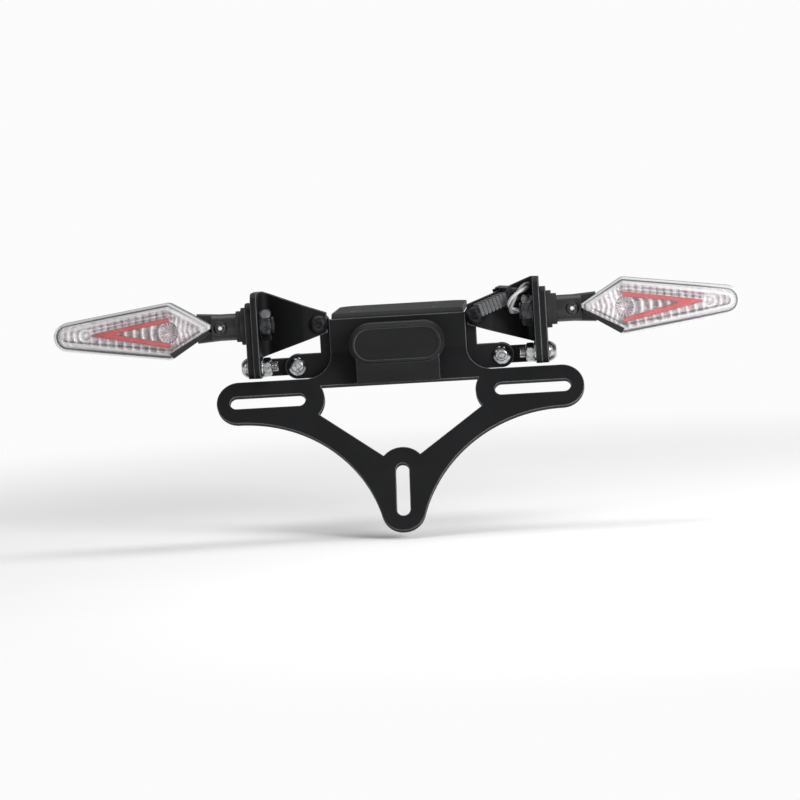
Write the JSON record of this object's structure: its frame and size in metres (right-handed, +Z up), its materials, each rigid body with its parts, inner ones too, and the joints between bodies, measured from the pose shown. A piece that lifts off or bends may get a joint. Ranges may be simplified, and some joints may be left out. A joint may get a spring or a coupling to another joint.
{
  "type": "motorbike tail tidy",
  "caption": "Folded steel motorbike tail tidy: V-shaped number plate holder, plate light, side brackets and clear arrow-shaped rear lamps.",
  "frame": {"origin": "middle of the four tail bolt holes, on the upper face of the top flange", "axes": "+X to the bike's right, +Y forward, +Z up; the visible face looks towards -Y"},
  "size_m": [0.331, 0.1224, 0.1159],
  "materials": {
    "steel": "satin black powder coat",
    "black_bolt": "black coated",
    "bright_fastener": "bright stainless",
    "black_plastic": "satin moulded",
    "lens_clear": "clear polished",
    "board": "printed circuit board",
    "reflector": "bright metallised",
    "guide_red": "red transparent moulding",
    "collar_rubber": "soft matt",
    "lead_white": "smooth sheath",
    "connector_grey": "moulded grey"
  },
  "bodies": {
    "root": {"tail_bracket": "steel", "plate_bracket": "steel", "lamp_bracket_left": "steel", "lamp_bracket_right": "steel", "adaptor_plate_left": "steel", "adaptor_plate_right": "steel", "bracket_bolts": "black_bolt", "bracket_nuts": "bright_fastener", "stay_bolts": "bright_fastener", "stay_nuts": "bright_fastener", "side_bolts": "bright_fastener", "side_washers": "bright_fastener", "side_nuts": "bright_fastener", "light_bolts": "bright_fastener", "light_washers": "bright_fastener", "stalk_screws": "bright_fastener", "stem_washers": "bright_fastener", "stem_nuts": "bright_fastener", "light_housing": "black_plastic", "lamp_housing_left": "black_plastic", "lamp_housing_right": "black_plastic", "cable_tie": "black_plastic", "light_lens": "lens_clear", "lamp_lens_left": "lens_clear", "lamp_lens_right": "lens_clear", "light_board": "board", "lamp_board_left": "board", "lamp_board_right": "board", "lamp_reflector_left": "reflector", "lamp_reflector_right": "reflector", "light_guide_left": "guide_red", "light_guide_right": "guide_red", "lamp_collar_left": "collar_rubber", "lamp_collar_right": "collar_rubber", "lamp_lead_right": "lead_white", "connector_right": "connector_grey"}
  },
  "joints": []
}
